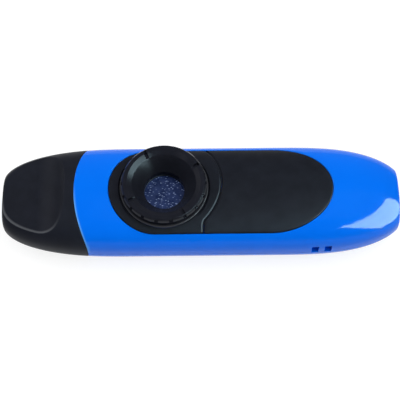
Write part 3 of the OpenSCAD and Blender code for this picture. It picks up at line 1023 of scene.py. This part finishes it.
def bayLid(mesh):
    r, count = panel["r"], bayLidShape["sidePoints"]
    seam = shutPoints(shut["gap"])[::-1]
    loop = np.concatenate([
        seam,
        sidePoints(seam[-1, 0], inlay["rearX"], -r, count),
        arcPoints(inlay["rearX"], inlay["rearLen"] - inlay["gap"], r, -90, 90, bayLidShape["arcPoints"]),
        sidePoints(inlay["rearX"], seam[0, 0], r, count)])
    onSeam = np.arange(len(loop)) < len(seam)
    rows = panelEdgeRows(loop, np.where(onSeam, panel["lidShutEdge"], panel["edge"]))
    middle = np.array([bayLidShape["centre"], 0.0])
    scale = np.linspace(1, 0, bayLidShape["rows"])[1:-1]
    top = [middle + (rows[-1][:, :2] - middle) * s for s in scale]
    low = [middle + (loop - middle) * s for s in scale[::-1]]
    rows = [onSkin(xy, panel["thick"]) for xy in low] + rows + [onSkin(xy) for xy in top]
    addGrid(mesh, rows)
    addFan(mesh, rows[0], (*middle, skinZ(*middle, panel["thick"])))
    addFan(mesh, rows[-1], (*middle, skinZ(*middle)))
    # locating rim underneath
    wall, count, flat = (bayLidShape["rim" + part] for part in ("Wall", "Points", "Flat"))
    outer, inner = (trayLoop(count, -wall * n - inlay["gap"]) for n in (1, 2))
    foot, root = lidLow[2], panel["thick"] - bayLidShape["rimRoot"]
    edge = foot + bayLidShape["rimEdge"]
    addGrid(mesh, [
        at(outer, edge), onSkin(outer, root),
        onSkin(inner, root), at(inner, edge),
        at(outer + (inner - outer) * flat, foot), at(inner + (outer - inner) * flat, foot)], wrapAlong=True)


makePiece("bayLid", bayLid, panelBlack, "panel_black", "lid", "storage_lid")

# tray under the lid


def bayTray(mesh):
    floor, wall, edge, run, count = trayLow[2], tray["wall"], tray["edge"], tray["foot"], tray["points"]
    base, underShell = floor + wall, body["wall"] + inlay["slip"]
    flangeZ = body["crown"] - 3 * body["wall"]
    outer, flange = trayLoop(count, 0), trayLoop(count, wall)
    inner, foot = trayLoop(count, -wall), trayLoop(count, -wall - run)
    middle = np.array([tray["x"], 0.0])
    rows = [at(middle + (outer - middle) * s, floor) for s in (0.3, 0.7, 0.97)]
    rows += [at(outer, floor + tray["base"]), at(outer, flangeZ), at(flange, flangeZ)]
    rows += [onSkin(xy, underShell) for xy in (flange, outer)]
    topZ = skinZ(*outer.T, inlay["depth"] + inlay["slip"])
    soft = (outer - middle) * 0.012
    rows += [at(outer, topZ - edge), at(outer - soft, topZ), at(inner + soft, topZ), at(inner, topZ - edge)]
    rows += [at(inner, base + run), at(inner * 0.7 + foot * 0.3, base + edge), at(foot, base)]
    rows += [at(middle + (foot - middle) * s, base) for s in (0.7, 0.3)]
    addGrid(mesh, rows)
    addFan(mesh, rows[0], (*middle, floor))
    addFan(mesh, rows[-1], (*middle, base))


makePiece("bayTray", bayTray, innerBlack, "inner_black", "body", "storage_tray")

# the cap, the membrane and what lies under it


# corners of an outline become arcs of their own radius
def roundedOutline(corners, steps=5):
    points = []
    spots = np.array([c[:2] for c in corners], float)
    for i, (x, z, r) in enumerate(corners):
        here, before, after = spots[i], spots[i - 1], spots[(i + 1) % len(spots)]
        inward, outward = (before - here), (after - here)
        a, b = unit(np.array([inward, outward]))
        if r == 0:
            points.append(here)
            continue
        half = math.acos(float(np.clip(a @ b, -1, 1))) / 2
        run = r / math.tan(half)
        centre = here + (a + b) / np.linalg.norm(a + b) * r / math.sin(half)
        start, end = here + a * run - centre, here + b * run - centre
        sweep = math.pi - 2 * half
        for t in np.linspace(0, 1, steps + 1):
            swing = start * math.sin((1 - t) * sweep) + end * math.sin(t * sweep)
            points.append(centre + swing / math.sin(sweep))
    return np.array(points)


# long straight stretches of an outline get points between
def filled(outline, longest):
    points = []
    for here, after in zip(outline, np.roll(outline, -1, 0)):
        pieces = max(1, math.ceil(np.linalg.norm(after - here) / longest))
        points += [here + (after - here) * t for t in np.linspace(0, 1, pieces, endpoint=False)]
    return np.array(points)


thread = {"pitch": 2.4, "height": 0.6, "play": 0.35, "root": 0.4, "fade": 0.06, "steps": 72}
thread["r"] = gasketHigh[1] + 0.4
thread["skirtR"] = thread["r"] + thread["height"] + thread["play"]
thread["ridge"] = 0.5 * thread["pitch"]
thread["z"] = capLow[2] + thread["ridge"] / 2
thread["turns"] = (seatHigh[2] - thread["z"] - thread["ridge"] / 2) / thread["pitch"]


# a ridge that winds up, fading out at both ends
def addThread(mesh, footR, crestR, startZ):
    wide, narrow, fade = thread["ridge"] / 2, thread["ridge"] / 6, thread["fade"]
    rows = []
    for t in np.linspace(0, 1, int(thread["steps"] * thread["turns"])):
        a, z = 2 * np.pi * thread["turns"] * t, startZ + thread["pitch"] * thread["turns"] * t
        grown = fade + (1 - fade) * float(smooth(0, fade, t) * smooth(1, 1 - fade, t))
        crest = footR + (crestR - footR) * grown
        rows.append([(cap["x"] + r * math.cos(a), r * math.sin(a), z + d)
                     for r, d in ((footR, -wide), (crest, -narrow), (crest, narrow), (footR, wide))])
    addGrid(mesh, rows)
    for end in (rows[0], rows[-1]):
        addGrid(mesh, [end[:2], end[:1:-1]], wrapAcross=False)


grip = {
    "flangeZ": body["crown"] + 0.3,
    "flangeT": 1.1,
    "lipT": 1.3,         # what shows of the flange's edge
    "step": 0.45,
    "skirtIn": 1.5,      # the skirt's wall, inside the flange's edge
    "neckIn": 0.65,      # the wall under the notched edge
    "neckRise": 0.35,    # height over which that wall widens to the edge
    "wallZ": 22.95,
    "facetRun": 0.65,    # slope from the notched edge up to the rim
    "facetFall": 1.1,
    "rimZ": capHigh[2],
    "rimW": 1.15,
    "funnelIn": 1.4,
    "funnelDrop": 0.9,
    "throatDrop": 2.6,
    "mouthR": ringHigh[1] - 3.05,
    "notches": 18,
    "notchW": 1.0,
    "notchTop": 0.4,
    "notchFoot": 0.3,
    "notchSoft": 0.06,
    "slots": 4,
    "slotTurn": 30,
    "slotW": 0.85,
    "slotDepth": 0.95,
    "slotStart": 0.5,
    "slotEnd": 0.35,     # rim left whole outside the slots
    "slotFrom": (8, 9.3),      # radii between which the slot walls turn parallel
    "slotReach": (1.2, 3.2),   # and distances from a slot over which that fades
    "edge": 0.1,         # how soft the edges of notches and slots are
    "highlightW": 0.5,
    "highlightIn": 0.1,        # the painted highlight's middle, inside the edges
    "highlightRise": 0.2,      # and over the foot of the facet
    "turns": 150,
    "closest": 0.0012,   # radians between two points of a row
}
grip["r"] = cap["flangeR"] - grip["step"]
grip["neckR"] = grip["r"] - grip["neckIn"]
grip["rimR"] = grip["r"] - grip["facetRun"]
grip["lipZ"] = grip["flangeZ"] - grip["flangeT"] + grip["lipT"]


def capOutline():
    flangeLow, rimIn = grip["flangeZ"] - grip["flangeT"], grip["rimR"] - grip["rimW"]
    skirtOut, r = cap["flangeR"] - grip["skirtIn"], cap["flangeR"]
    # the facet gets a close pair of points where the notches end
    notchEnds = [(grip["rimR"] + grip["facetRun"] * d / grip["facetFall"], grip["rimZ"] - d, 0)
                 for d in (grip["notchTop"] + grip["notchSoft"], grip["notchTop"] - grip["notchSoft"])]
    return filled(roundedOutline([
        (thread["skirtR"], capLow[2], 0.2), (skirtOut, capLow[2], 0.3), (skirtOut, flangeLow, 0.15),
        (r, flangeLow, 0.2), (r, grip["lipZ"], 0.3), (grip["neckR"], grip["lipZ"], 0.12),
        (grip["neckR"], grip["wallZ"] - grip["neckRise"], 0.12), (grip["r"], grip["wallZ"], 0.06),
        (grip["r"], grip["rimZ"] - grip["facetFall"], 0.08), *notchEnds,
        (grip["rimR"], grip["rimZ"], 0.12), (rimIn, grip["rimZ"], 0.15),
        (rimIn - grip["funnelIn"], grip["rimZ"] - grip["funnelDrop"], 0.4),
        (grip["mouthR"], grip["flangeZ"] - grip["throatDrop"], 0.5), (grip["mouthR"], ringHigh[2], 0.15),
        (thread["skirtR"], ringHigh[2], 0.1)]), longest=0.5)


# angles round the cap, close together at the edges of notches and slots
def capTurns():
    turns = list(fullTurn(grip["turns"]))
    notchTurns = 2 * np.pi * (np.arange(grip["notches"]) + 0.5) / grip["notches"] - np.pi / 2
    slotTurns = np.radians(grip["slotTurn"]) + 2 * np.pi * np.arange(grip["slots"]) / grip["slots"]
    soft = np.linspace(-grip["edge"], grip["edge"], 6)
    for centres, width in ((notchTurns, grip["notchW"]), (slotTurns, grip["slotW"])):
        spread = np.array([0, 0.3, *(soft + width / 2), width / 2 + 0.2]) / grip["r"]
        for c in centres:
            turns += list(c + spread) + list(c - spread)
    turns = np.sort(np.mod(turns, 2 * np.pi))
    return turns[np.concatenate([[True], np.diff(turns) > grip["closest"]])], notchTurns, slotTurns


# the nearest centre to each angle, and the way to it
def nearest(turns, centres):
    gap = np.mod(turns[:, None] - centres[None, :] + np.pi, 2 * np.pi) - np.pi
    pick = np.abs(gap).argmin(1)
    return gap[np.arange(len(turns)), pick], centres[pick]


def screwCap(mesh):
    turns, notchTurns, slotTurns = capTurns()
    notchGap, _ = nearest(turns, notchTurns)
    slotGap, slotMid = nearest(turns, slotTurns)
    notch = 1 - smooth(-grip["edge"], grip["edge"], np.abs(notchGap) * grip["r"] - grip["notchW"] / 2)
    offset = slotGap * grip["r"]
    slot = 1 - smooth(-grip["edge"], grip["edge"], np.abs(offset) - grip["slotW"] / 2)
    slotFloor = grip["rimZ"] - grip["slotDepth"]
    rows = []
    for r, z in capOutline():
        inNotch = grip["lipZ"] + grip["notchFoot"] < z < grip["rimZ"] - grip["notchTop"]
        radius = r - max(r - grip["neckR"], 0) * notch * inNotch
        inSlot = grip["mouthR"] + grip["slotStart"] < r < grip["rimR"] - grip["slotEnd"]
        height = z - np.maximum(z - slotFloor, 0) * slot * inSlot
        # slot walls stay parallel from the rim to the funnel
        parallel = (1 - smooth(*grip["slotReach"], np.abs(offset))) * smooth(*grip["slotFrom"], r)
        straight = np.arcsin(np.clip(offset / radius, -0.9, 0.9))
        turn = slotMid + slotGap * (1 - parallel) + straight * parallel
        rows.append(at(around(cap["x"], radius, turn), height))
    addGrid(mesh, rows, wrapAlong=True)
    skirtR, startZ = thread["skirtR"], thread["z"] + thread["pitch"] / 2
    addThread(mesh, skirtR + thread["root"], skirtR - thread["height"], startZ)


# painted highlight, even all round, on the flange's edge and the tops of the teeth
def capHighlight(x, y, z):
    r = np.hypot(x - cap["x"], y)
    inside, rise = grip["highlightIn"], grip["highlightRise"]
    flange = np.hypot(r - cap["flangeR"] + inside, z - grip["lipZ"] + inside)
    teeth = np.hypot(r - grip["r"] + inside, z - grip["rimZ"] + grip["facetFall"] - rise)
    return np.clip(1 - np.minimum(flange, teeth) / grip["highlightW"], 0, 1)


# the cap gets a painted highlight on its edges
paintEdgeHighlights(makePiece("screwCap", screwCap, capBlack, "cap_black", "cap", "cap", sharp=50), capHighlight)

fineTurns = fullTurn(120)


def addRing(mesh, outline):
    addGrid(mesh, [at(around(cap["x"], r, fineTurns), z) for r, z in outline], wrapAlong=True)


def pressRing(mesh):
    bore, rim, low, top = grip["mouthR"] + inlay["slip"], ringHigh[1], ringLow[2], ringHigh[2]
    addRing(mesh, roundedOutline([(bore, low, 0.08), (rim, low, 0.2), (rim, top, 0.2), (bore, top, 0.2)]))


# the seat's bore, which the gasket shares, and the floor that holds it in the well
seat = {"bore": gasketHigh[1] - 2.5, "foot": well["holeR"] - inlay["slip"], "floorT": 1.2}


def filmGasket(mesh):
    bore, rim, low, top = seat["bore"], gasketHigh[1], gasketLow[2], gasketHigh[2]
    addRing(mesh, roundedOutline([(bore, low, 0.1), (rim, low, 0.1), (rim, top, 0.1), (bore, top, 0.1)]))


def filmSeat(mesh):
    bore, tube, foot = seat["bore"], thread["r"], seat["foot"]
    low, top = seatLow[2], seatHigh[2]
    floor = low + seat["floorT"]
    addRing(mesh, filled(roundedOutline([
        (bore, low, 0.2), (foot, low, 0.2), (foot, floor, 0.2), (tube, floor, 0.15),
        (tube, top, 0.2), (bore, top, 0.2)]), longest=1.0))
    addThread(mesh, tube - thread["root"], tube + thread["height"], thread["z"])


film = {
    "wave": 0.06,
    "spareWave": 0.05,
    "slow": (3, 1.3),    # waves round the disc, and radians a millimetre outwards
    "quick": (7, 2.1),
    "quickShare": 0.6,
    "flatRim": 0.6,      # share of the radius from which the waves die out
    "spares": 3,
    "spareT": 0.2,
    "rings": 26,
    "firstRing": 0.3,
    "seed": 4,
    "spareSeed": 20,
}


# a film disc with small waves in its upper face, flat at the rim and underneath
def addFilmDisc(mesh, x, radius, low, thick, wave, seed):
    phase = np.random.default_rng(seed).uniform(0, 2 * np.pi, 4)

    def ripple(r, kind, first, second):
        across, along = film[kind]
        return np.sin(across * fineTurns + first) * np.sin(r * along + second)

    def rise(r):
        inside = smooth(radius, radius * film["flatRim"], r)
        both = ripple(r, "slow", *phase[:2]) + film["quickShare"] * ripple(r, "quick", *phase[2:])
        return wave * inside * (0.5 + 0.3 * both)

    rings = np.linspace(film["firstRing"], radius, film["rings"])
    under = [at(around(x, r, fineTurns), low) for r in rings]
    over = [at(around(x, r, fineTurns), low + thick - wave + rise(r)) for r in rings]
    rows = under + over[::-1]
    addGrid(mesh, rows)
    addFan(mesh, rows[0], (x, 0, low))
    addFan(mesh, rows[-1], (x, 0, float(rows[-1][:, 2].mean())))


def soundFilm(mesh):
    thick = filmHigh[2] - filmLow[2]
    addFilmDisc(mesh, cap["x"], filmHigh[1], filmLow[2], thick, film["wave"], film["seed"])


def spareFilms(mesh):
    thick = film["spareT"]
    pitch = (spareHigh[2] - spareLow[2] - thick) / (film["spares"] - 1)
    for i in range(film["spares"]):
        low = spareLow[2] + i * pitch
        addFilmDisc(mesh, tray["x"], spareHigh[1], low, thick, film["spareWave"], film["spareSeed"] + i)


makePiece("pressRing", pressRing, innerBlack, "inner_black", "ring", "pressure_ring")
makePiece("filmGasket", filmGasket, gasketGrey, "gasket", "body", "seat_gasket")
makePiece("filmSeat", filmSeat, innerBlack, "inner_black", "body", "membrane_seat")
makePiece("soundFilm", soundFilm, darkFilm, "film", "body", "membrane")
makePiece("spareFilms", spareFilms, darkFilm, "film", "body", "spare_membranes")

# studio: pale floor, soft light and the camera at the photo's angle

stageSet = {
    "floorSize": 6,
    "floor": (0.25, 0.25, 0.25),
    "floorShade": (0.24, 0.241, 0.242),
    "cloudScale": 6,
    "rough": 0.9,
    "specular": 0.1,
    "glow": (0.85, 0.86),        # what the backdrop adds near the object and far from it
    "glowFrom": (0.1, 0.9),
    "drop": 0.05,                # below the base, so that the two faces don't share a plane
}


def paleFloor():
    data = bpy.data.meshes.new("paleFloor")
    work = bmesh.new()
    bmesh.ops.create_grid(work, x_segments=8, y_segments=8, size=stageSet["floorSize"])
    work.to_mesh(data)
    work.free()
    material, tree, shader, place = newFinish("paleFloor")
    cloud = noiseNode(tree, place, stageSet["cloudScale"], 3)
    # a white background for what is seen straight or in a reflection; it lights nothing
    distance = addNode(tree, "VectorMath", {0: place}, operation="LENGTH").outputs["Value"]
    glow = rangeNode(tree, distance, *stageSet["glowFrom"], *stageSet["glow"])
    path = addNode(tree, "LightPath", {}).outputs
    seen = path["Is Camera Ray"]
    for name in ("Is Glossy Ray", "Is Transmission Ray"):
        seen = mathNode(tree, "MAXIMUM", seen, path[name])
    fill(tree, shader, {
        "Base Color": mixColour(tree, cloud, stageSet["floor"], stageSet["floorShade"]),
        "Roughness": stageSet["rough"],
        "Specular IOR Level": stageSet["specular"],
        "Emission Color": (1, 1, 1),
        "Emission Strength": mathNode(tree, "MULTIPLY", glow, seen)})
    data.materials.append(material)
    floor = show("paleFloor", data)
    floor.location.z = -stageSet["drop"] * mm


# soft lamps, in metres: a face turned from a direction, its long side along another;
# without shine a lamp only lights the surfaces, without fill it only shines in them
lamps = {
    "topBox": {
        "at": (0.40, 0.05, 1.10),
        "along": (1, 0, 0),
        "size": (1.3, 0.9),
        "watts": 11.4,
        "shine": False,
    },
    "frontFill": {
        "at": (0.1, -1.05, 0.11),
        "away": (0.1, -1.05, 0.06),
        "along": (1, 0, 0),
        "size": (1.3, 0.18),
        "watts": 4.6,
        "shine": False,
    },
    "leftFill": {
        "at": (-0.75, 0.40, 0.65),
        "along": (0.4, 0.75, 0),
        "size": (0.9, 0.7),
        "watts": 4.5,
    },
    "rightCard": {
        "at": (1.04, -0.345, 0.52),
        "away": (0.70, -0.32, 0.64),
        "along": (0.33, 0.78, 0.04),
        "size": (1.36, 1.12),
        "watts": 170,
        "colour": (0.70, 1.0, 1.08),
        "fill": False,
    },
    "leftCard": {
        "at": (-0.50, -0.34, 0.74),
        "along": (0.87, 0.2, 0.45),
        "size": (0.5, 0.2),
        "watts": 0.8,
        "fill": False,
    },
}


def addLamp(name, look):
    light = bpy.data.lights.new(name, "AREA")
    light.shape = "RECTANGLE"
    light.size, light.size_y = look["size"]
    light.energy = look["watts"]
    light.color = look.get("colour", (1, 1, 1))
    lamp = show(name, light)
    away, along = Vector(look.get("away", look["at"])).normalized(), Vector(look["along"])
    along = (along - away * along.dot(away)).normalized()
    turn = Matrix((along, away.cross(along), away)).transposed()
    lamp.matrix_world = Matrix.Translation(look["at"]) @ turn.to_4x4()
    lamp.visible_diffuse = look.get("fill", True)
    lamp.visible_glossy = look.get("shine", True)


# light of the room from behind the camera (-Y) to the back (+Y)
sky = {"stops": ((0.0, 0.06), (0.5, 0.12), (0.71, 0.14), (0.9, 0.32), (1.0, 0.48))}


def softSky():
    world = bpy.data.worlds.new("softSky")
    world.use_nodes = True
    scene.world = world
    tree = world.node_tree
    way = addNode(tree, "TexCoord", {}).outputs["Generated"]
    split = addNode(tree, "SeparateXYZ", {"Vector": way})
    ramp = addNode(tree, "ValToRGB", {"Fac": rangeNode(tree, split.outputs["Y"], -1, 1, 0, 1)})
    stops = ramp.color_ramp.elements
    while len(stops) < len(sky["stops"]):
        stops.new(0.5)
    for stop, (place, level) in zip(stops, sky["stops"]):
        stop.position = place
        stop.color = (level, level, level, 1)
    fill(tree, tree.nodes["Background"], {"Color": ramp.outputs["Color"]})


# focal length, image and axis are in pixels of the photo's frame
view = {
    "elevation": 65,
    "distance": 340,
    "yaw": 0.63,
    "focal": 1109,
    "image": 400,
    "axis": (200.6, 201.7),
    "sensor": 36,
}


def photoCamera():
    data = bpy.data.cameras.new("photoCamera")
    data.sensor_width = view["sensor"]
    data.lens = view["sensor"] * view["focal"] / view["image"]
    data.shift_x = -(view["axis"][0] - view["image"] / 2) / view["image"]
    data.shift_y = (view["axis"][1] - view["image"] / 2) / view["image"]
    data.clip_start = 0.01
    camera = show("photoCamera", data)
    yaw, rise = math.radians(view["yaw"]), math.radians(view["elevation"])
    back, up = view["distance"] * math.cos(rise), view["distance"] * math.sin(rise)
    target = Vector((0, 0, body["mid"])) * mm
    camera.location = target + Vector((-back * math.sin(yaw), -back * math.cos(yaw), up)) * mm
    camera.rotation_euler = (target - camera.location).to_track_quat("-Z", "Y").to_euler()
    scene.camera = camera


paleFloor()
for lampName, lampLook in lamps.items():
    addLamp(lampName, lampLook)
softSky()
photoCamera()
scene.view_settings.view_transform = "Standard"
print("studio ready")
